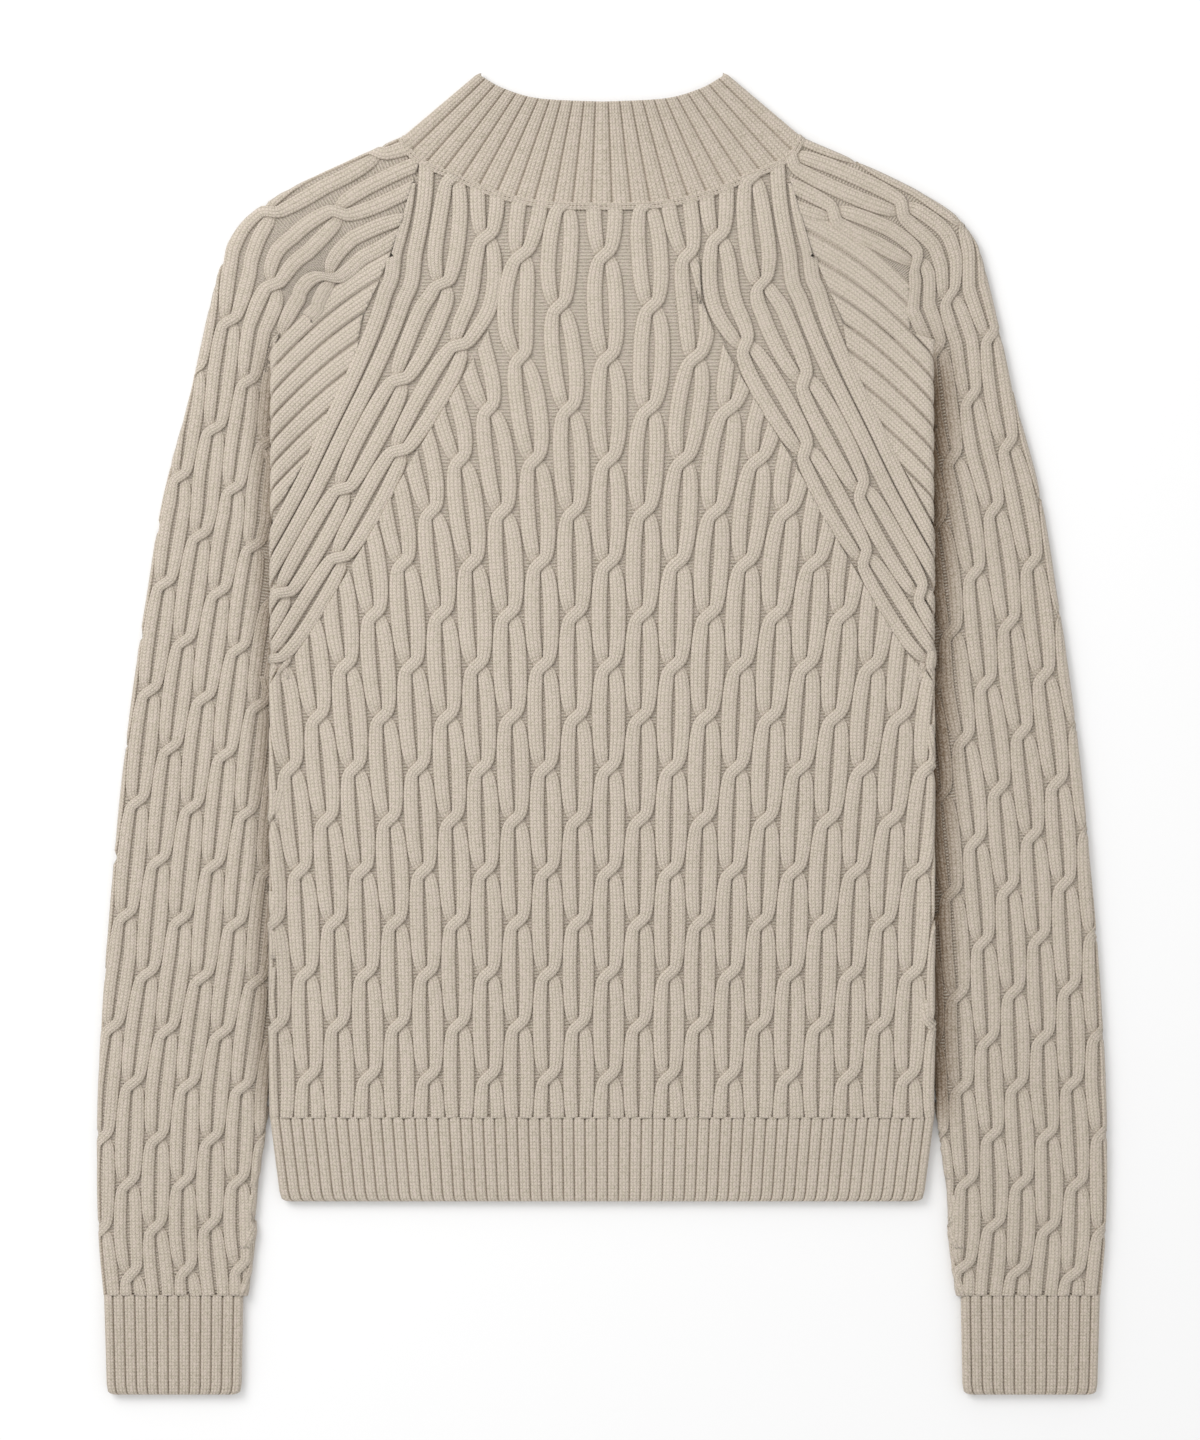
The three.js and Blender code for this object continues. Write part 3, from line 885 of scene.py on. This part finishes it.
def arm_strands(bm, side, cables, under, step):
    along = np.arange(-60.0, 830.0, step)
    rows = np.interp(along, *ARM_ROWS[side].T)
    row_height = 1 / np.gradient(rows, along)
    places, insets, pitches = ARM_CABLES[side].T
    outermost = np.interp(along, places, insets)
    pitch = np.interp(along, places, pitches)
    past_edge = -SHORT_OF_EDGE if under else ARM_PAST_EDGE
    for cable in cables:
        middle = arm_flat(round_edge(outermost + pitch * cable, 0)[0], along)
        stretched = np.linalg.norm(np.gradient(middle, along, axis=0), axis=1)
        turns = -(rows - cable - 1) / 2
        for strand in (0, 1):
            sideways, lift, wide = cable_strands(strand, turns, 2 * row_height * stretched, pitch)
            path = np.stack([outermost + pitch * cable - side * sideways, along], axis=-1)
            flat = arm_flat(round_edge(path[:, 0], 0)[0], along)
            for stretch, planes in runs_inside(flat, lambda at: arm_depth(at, past_edge)):
                over_shoulder = (flat[stretch, 1] > FOLD_TOP).mean() > 0.5
                if over_shoulder and cable > LAST_OVER_SHOULDER:
                    continue
                cuts = mirrored(filter(cuts_off, planes), side)
                strand_into(
                    bm, path[stretch], wide[stretch], lift[stretch], arm_cloth(side), cuts, arm_shade,
                )

# %% Ground of an arm
def arm_ground(side):
    def place(u, v):
        last_row = outer_rail.length[-1]
        along = mix(0.0, last_row, v)
        width = np.interp(along, places_along, inner_edge)
        past_edge = np.where(outer_rail.at(along)[..., 1] < FOLD_TOP, EDGE_MIDDLE, -4.0)
        first = np.maximum(width - past_edge, 9.0)
        last = 2 * HALF - math.pi * TURN_RADIUS - first
        inset = mix(first, last, u)
        # The last rows turn until they lie along the cuff's seam
        last_flat = arm_flat(round_edge(inset, 0.0)[0], np.full_like(inset, last_row))
        plan = np.stack([inset, along + v**8 * (last_flat[..., 1] - CUFF_SEAM + 0.5)], axis=-1)
        return arm_cloth(side)(plan, np.zeros_like(along)), plan

    return place

# %% [markdown]
# ## The shoulder part
# Between the raglan seam and the arm lies the shoulder part. Its strands run down along the seam. The two
# cables next to the seam cross, and the others run side by side. At the outside it turns under in a fold
# that lies over the arm. The strand functions serve again, with another cloth to bend the plan.

# %% The shoulder part's cloth
SHOULDER_NARROWING = 0.88
SHOULDER_FIRST_CROSSING = 121.6
SHOULDER_HALF_REPEAT = 36.6
CROSSED_SHOULDER_CABLES = 2
SHOULDER_CABLES = 7
FAN_BOTTOM = 120.0


def shoulder_flat(from_seam, along):
    seam, direction = raglan_rail.at(along), raglan_rail.along(along)
    x = seam[..., 0] - direction[..., 1] * from_seam
    y = seam[..., 1] + direction[..., 0] * from_seam
    return np.stack([x, y], axis=-1)


def folded_cloth(flat, height, side, under):
    """Cloth of the shoulder part, which turns under at the fold beside the arm."""
    x, y = flat[..., 0], flat[..., 1]
    folds = 1 - smoothstep(y, FOLD_TOP - 6, FOLD_TOP + 16)
    inset, z = round_edge(HALF_CHEST - x, height)
    true_out = mix(x, HALF_CHEST - inset, folds)
    z = mix(THICK / 2 + GROUND_RADIUS + height, z, folds)
    z = THICK - z if under else z * (1 + fold_rise(side * true_out, y) / THICK)
    return stack(side * true_out, y, z)


def shoulder_depth(flat, under):
    x, y = flat[..., 0], flat[..., 1]
    to_fold = HALF_CHEST + (0 if under else PAST_EDGE) - x
    to_arm = np.where(y > FAN_BOTTOM, out_at(SHOULDER_LINE, y) + SEAM_LAP - x, to_fold)
    return np.minimum.reduce([x - out_at(RAGLAN, y) + SEAM_LAP, to_arm, below_neck_seam(x, y), y - 20])


print("the fold stands", THICK + FOLD_RISE[1], "mm over the table on the right")

# %% Strands of the shoulder part
def shoulder_strands(bm, side, under, step):
    along = np.arange(-60.0, raglan_rail.length[-1] + 30, step)
    width = SHOULDER_NARROWING * body_width(raglan_rail.at(along)[:, 1])

    def place(plan, height):
        return folded_cloth(shoulder_flat(plan[..., 0], plan[..., 1]), height, side, under)

    for cable in range(SHOULDER_CABLES):
        turns = -((along - SHOULDER_FIRST_CROSSING) / SHOULDER_HALF_REPEAT - cable) / 2
        for strand in (0, 1):
            sideways, lift, wide = cable_strands(
                strand, turns, 2 * SHOULDER_HALF_REPEAT, width, cable < CROSSED_SHOULDER_CABLES
            )
            path = np.stack([width * (cable + 0.5) + side * sideways, along], axis=-1)
            flat = shoulder_flat(path[:, 0], along)
            for stretch, planes in runs_inside(flat, lambda at: shoulder_depth(at, under)):
                cuts = mirrored(planes, side)
                strand_into(bm, path[stretch], wide[stretch], lift[stretch], place, cuts)

# %% Ground of the shoulder part
def shoulder_ground(side, under):
    neck = smooth_line(NECK_SEAM)

    def place(u, v):
        y = mix(UNDERARM + 1, 342.0, v)
        inner = np.where(y > 320, np.interp(y, neck[:, 1], neck[:, 0]), out_at(RAGLAN, y)) - 0.8
        above_fold = smoothstep(y, FOLD_TOP, FOLD_TOP + 16)
        outer = mix(HALF_CHEST - EDGE_MIDDLE, out_at(SHOULDER_LINE, y) + 1, above_fold)
        flat = np.stack([mix(inner, np.maximum(outer, inner + 0.5), u), y], axis=-1)
        return folded_cloth(flat, np.full_like(y, -0.3), side, under), flat

    return place

# %% [markdown]
# ## The fan
# Along the upper half of the fold, plain strands of the arm come up over its edge and spread until they meet
# the shoulder part's strands. Each is the same curve, moved down by one spacing, and its width follows from
# the spacing and from how steeply it runs. They lie lower than the cables, as the cloth is stretched tight
# there.

# %% Strands that run over the fold
FAN_TOP = {-1: 222.3, 1: 246.0}
FAN_SPACING = 14.3
FAN_GROOVE = 0.4
FAN_LIFT = -0.7
FAN_STEEPNESS = 1.15
FAN_BEND = 0.0045
BESIDE_FAN = 184.0


def fan_depth(flat, under):
    x, y = flat[..., 0], flat[..., 1]
    fold = HALF_CHEST + (0 if under else PAST_EDGE)
    to_fold = mix(fold, BESIDE_FAN, smoothstep(y, FOLD_TOP + 4, FOLD_TOP + 14)) - x
    return np.minimum.reduce([to_fold, x - out_at(SHOULDER_LINE, y) + 2 * SEAM_LAP, y - FAN_BOTTOM])


def fan_strands(bm, side, under, step):
    from_edge = np.arange(-7.0, 96.0, step * 0.7)[::-1]
    slope = FAN_STEEPNESS - 2 * FAN_BEND * from_edge
    wide = FAN_SPACING / np.hypot(1, slope) - FAN_GROOVE
    lift = np.full_like(wide, FAN_LIFT)

    def place(plan, height):
        return folded_cloth(plan, height, side, under)

    for first_up in np.arange(FAN_TOP[side], FAN_BOTTOM, -FAN_SPACING):
        up = first_up + FAN_STEEPNESS * from_edge - FAN_BEND * from_edge**2
        path = np.stack([HALF_CHEST - from_edge, up], axis=-1)
        for stretch, planes in runs_inside(path, lambda at: fan_depth(at, under)):
            strand_into(bm, path[stretch], wide[stretch], lift[stretch], place, mirrored(planes, side))


print("the fan's strands follow each other every", FAN_SPACING, "mm")

# %% [markdown]
# ## Both sleeves
# The two sleeves differ a little, in where the cables lie and in how high the fold stands, so side runs
# through the functions as -1 or 1. Mirroring one sleeve would also turn its crossings round, and on the real
# garment they all turn the same way.

# %% Both sleeves
for name, side in (("left", -1), ("right", 1)):
    node = "sleeve_" + name
    strands = bmesh.new()
    arm_strands(strands, side, range(0, 8), False, TOP_STEP)
    arm_strands(strands, side, range(-8, 0), True, UNDER_STEP)
    for make_strands in (shoulder_strands, fan_strands):
        make_strands(strands, side, False, TOP_STEP)
        make_strands(strands, side, True, UNDER_STEP)
    cables = finish_piece(strands, node + "_cables", strand_wool, node)
    sheet = bmesh.new()
    ground_into(sheet, 120, 160, arm_ground(side), arm_ground_shade)
    for under in (False, True):
        ground_into(sheet, 40, 80, shoulder_ground(side, under), open_ground_shade)
    ground = finish_piece(sheet, node + "_ground", ground_wool, node)

# %% [markdown]
# ## The ribs
# The neck, the hem and the cuffs are knitted in flat ribs with narrow grooves. Each wall is one grid: it
# starts on the outside at the seam, crosses to the inside, runs down to the free edge, rolls over it and
# comes back up on the outside. Single ribs in an array would leave every groove to be sewn shut. Each ribbed
# tube is two such walls, one on top and one below.

# %% A band of ribs
RIB_HEIGHT = 1.8
# Place across one rib, and share of its height there
RIB_PROFILE = np.array([
    (0.0, 0.0), (0.035, 0.15), (0.075, 0.62), (0.14, 0.9), (0.3, 1.0), (0.5, 1.0), (0.7, 1.0), (0.86, 0.9),
    (0.925, 0.62), (0.965, 0.15),
])
# Way from the free edge, and share of the ribs' height there, from the inside to the outside
INSIDE = -0.6
ROLLED_EDGE = ((3.0, INSIDE), (0.5, -0.55), (0.0, -0.1), (0.3, 0.5), (0.9, 0.85), (1.8, 1.0))


def rib_columns(count):
    places = (np.arange(count)[:, None] + RIB_PROFILE[None, :, 0]).ravel() / count
    heights = np.tile(RIB_PROFILE[:, 1], count)
    return np.append(places, 1.0), np.append(heights, 0.0)


def band_into(bm, count, length, steps, place, wales, shade=0.0):
    """Adds a closed wall of ribs to bm. place(across, from_edge, height) gives its points, and shade
    is its painted shade.
    """
    across, ridge = rib_columns(count)
    outside = np.linspace(ROLLED_EDGE[-1][0], length, steps)[1:]
    rows = [(length, 1.0), (length, INSIDE), *ROLLED_EDGE, *((way, 1.0) for way in outside)]
    from_edge, share = (column[:, None] for column in np.array(rows).T)
    height = np.where(share > 0, share * np.maximum(ridge, 0.0), share) * RIB_HEIGHT
    points = place(across[None, :] + 0 * from_edge, from_edge + 0 * across, height)
    stitches = stack(across[None, :] * count * wales, from_edge / COURSE)
    painted_shade_map = stack(np.maximum(share * ridge, 0), 1.0 - shade)
    join_into(bm, close_up(knitted_grid(points, stitches, painted_shade_map)))

# %% [markdown]
# ## Collar
# The mock neck narrows from the neck seam up to its free edge. Each point of the wall lies between these two
# lines, at the same share of both, so the ribs fan out. Where the collar is linked to the body, two rows of
# small chain stitches show. They are thin strands whose width and height swell once for each stitch, because
# a bump texture wouldn't stand out from the ribs.

# %% Collar
COLLAR_EDGE = [(0, 378.3), (37, 380.2), (58, 386), (70, 392.5), (75, 395.6)]
COLLAR_LENGTH = 63.0
COLLAR_RIBS = 23
# Painted shade that darkens the collar's ribs a little
COLLAR_PAINTED_SHADE = 0.07
collar_seam = Rail(NECK_SEAM, 1)
collar_edge = Rail(COLLAR_EDGE, 1)


def collar_wall(under):
    def place(across, from_edge, height):
        share = np.abs(across - 0.5) * 2
        side = np.where(across < 0.5, -1, 1)
        low = collar_seam.at(share * collar_seam.length[-1])
        high = collar_edge.at(share * collar_edge.length[-1])
        flat = mix(high, low, (from_edge / COLLAR_LENGTH)[..., None])
        to_side = (1 - share) * mix(75.0, 130.0, from_edge / COLLAR_LENGTH)
        inset, z = round_edge(np.maximum(to_side + EDGE_MIDDLE, EDGE_MIDDLE), height)
        z = THICK - z if under else z
        return stack(side * (flat[..., 0] + to_side - inset), flat[..., 1], z)

    return place

# %% The linking chain, and both walls of the collar
CHAIN_STITCH = 2.4
CHAIN_ROWS = (COLLAR_LENGTH - 1.1, COLLAR_LENGTH + 1.1)


def linking_chain(bm, under):
    half = collar_seam.length[-1]
    wall = collar_wall(under)
    along = np.arange(1 - half, half, CHAIN_STITCH / 4)
    bead = np.abs(np.sin(math.pi * along / CHAIN_STITCH))
    for from_edge in CHAIN_ROWS:
        path = np.stack([along, np.full_like(along, from_edge)], axis=-1)
        strand_into(
            bm, path, 2.0 + 0.6 * bead, 0.5 * bead - 0.1,
            lambda plan, height: wall(0.5 + plan[..., 0] / (2 * half), plan[..., 1], height),
        )


for under in (False, True):
    band = bmesh.new()
    band_into(band, COLLAR_RIBS, COLLAR_LENGTH, 28, collar_wall(under), 4, COLLAR_PAINTED_SHADE)
    linking_chain(band, under)
    wall = finish_piece(band, "collar_front" if under else "collar_back", rib_wool, "collar")

# %% [markdown]
# ## Hem and cuffs
# The hem draws the body in a little, and the cuffs are almost straight. Both have rounded corners at the
# free edge, where the knitting rolls. A bevel could round them, but it would also cut into the ribs, so the
# wall is made narrower near the edge, by a quarter circle.

# %% Hem
HEM_EDGE = -280.0
HEM_EDGE_HALF = 193.0
HEM_RIBS = 59
HEM_LENGTH = HEM_SEAM - HEM_EDGE
CORNER = 4.0


def corner_inset(from_edge):
    near_corner = np.clip(1 - from_edge / CORNER, 0, 1)
    return CORNER * (1 - np.sqrt(1 - near_corner**2))


def flat_band(across, half, height, under):
    x = (2 * across - 1) * (half - EDGE_MIDDLE)
    inset, z = round_edge(half - np.abs(x), height)
    return np.sign(x) * (half - inset), THICK - z if under else z


def hem_wall(under):
    def place(across, from_edge, height):
        half = mix(HEM_EDGE_HALF, HALF_CHEST, from_edge / HEM_LENGTH) - corner_inset(from_edge)
        x, z = flat_band(across, half, height, under)
        return stack(x, HEM_EDGE + from_edge, z)

    return place


for under in (False, True):
    band = bmesh.new()
    band_into(band, HEM_RIBS, HEM_LENGTH, 12, hem_wall(under), 3)
    node = "front_hem" if under else "back_hem"
    wall = finish_piece(band, node + "_ribs", rib_wool, node)

# %% Cuffs
CUFF_EDGE = -395.7
CUFF_RIBS = 13
CUFF_LENGTH = CUFF_SEAM - CUFF_EDGE
CUFF_AT_SEAM = (214.2, 298.8)
CUFF_AT_EDGE = (215.4, 297.0)
# Painted shade that darkens the cuffs a little, more on the right
CUFF_PAINTED_SHADE = {-1: 0.05, 1: 0.08}


def cuff_wall(side, under):
    def place(across, from_edge, height):
        share = from_edge / CUFF_LENGTH
        inner, outer = (mix(at_edge, at_seam, share) for at_edge, at_seam in zip(CUFF_AT_EDGE, CUFF_AT_SEAM))
        half = (outer - inner) / 2 - corner_inset(from_edge)
        x, z = flat_band(across, half, height, under)
        return stack(side * (outer + inner) / 2 + x, CUFF_EDGE + from_edge, z)

    return place


for name, side in (("left", -1), ("right", 1)):
    for under in (False, True):
        band = bmesh.new()
        band_into(band, CUFF_RIBS, CUFF_LENGTH, 14, cuff_wall(side, under), 3, CUFF_PAINTED_SHADE[side])
        node = "cuff_" + name
        wall = finish_piece(band, node + ("_front" if under else "_back"), rib_wool, node)

# %% [markdown]
# ## Studio
# The garment lies on a plain white surface in soft light. A bright sky fills the grooves evenly, and one
# large lamp from the upper left gives the strands their form and drops a soft shade to the right of each
# fold. More lamps would fill that shade again and flatten the knitting.

# %% Floor and light
SKY = 0.82
LAMP = 30.0
LAMP_PLACE = (-1.3, 1.1, 1.7)
LAMP_SIZE = 1.3
FLOOR_HALF = 4

bpy.context.scene.view_settings.view_transform = "Standard"
floor_bm = bmesh.new()
bmesh.ops.create_grid(floor_bm, x_segments=1, y_segments=1, size=FLOOR_HALF)
floor_mesh = bpy.data.meshes.new("floor")
floor_bm.to_mesh(floor_mesh)
floor_bm.free()
floor = bpy.data.objects.new("floor", floor_mesh)
bpy.context.scene.collection.objects.link(floor)
paper = Tree("paper")
white = paper.node("ShaderNodeBsdfPrincipled", {}, {"Base Color": (0.9, 0.9, 0.9, 1), "Roughness": 0.9})
paper.node("ShaderNodeOutputMaterial", {}, {"Surface": white.outputs[0]})
floor_mesh.materials.append(paper.material)

world = bpy.data.worlds.new("studio")
world.use_nodes = True
sky = world.node_tree.nodes["Background"]
sky.inputs["Color"].default_value = (1, 1, 1, 1)
sky.inputs["Strength"].default_value = SKY
bpy.context.scene.world = world
lamp_data = bpy.data.lights.new("lamp", "AREA")
lamp_data.size = LAMP_SIZE
lamp_data.energy = LAMP
lamp = bpy.data.objects.new("lamp", lamp_data)
lamp.location = LAMP_PLACE
lamp.rotation_euler = (-Vector(LAMP_PLACE)).to_track_quat("-Z", "Y").to_euler()
bpy.context.scene.collection.objects.link(lamp)
print("the lamp hangs", round(lamp.location.length, 2), "m away")
